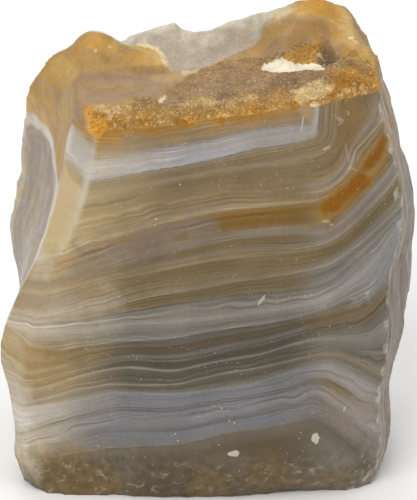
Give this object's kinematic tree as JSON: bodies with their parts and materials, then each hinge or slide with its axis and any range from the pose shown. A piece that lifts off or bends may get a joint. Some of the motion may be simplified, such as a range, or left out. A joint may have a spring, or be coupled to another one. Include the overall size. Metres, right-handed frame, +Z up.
{
  "type": "raw banded agate chunk",
  "caption": "Raw chunk of banded chalcedony, broken on all sides, with a sugary golden crust on its tilted top; stands free on its flat underside.",
  "frame": {"origin": "centre of the bounding box at the stone's underside", "axes": "+Z up; +Y away from the banded front, so the front faces -Y; +X to the front's right"},
  "size_m": [0.0542, 0.0348, 0.061],
  "materials": {
    "chalcedony": "waxy broken chalcedony with grey, brown and cream bands, golden where iron has stained it"
  },
  "bodies": {
    "root": {"agate": "chalcedony"}
  },
  "joints": []
}
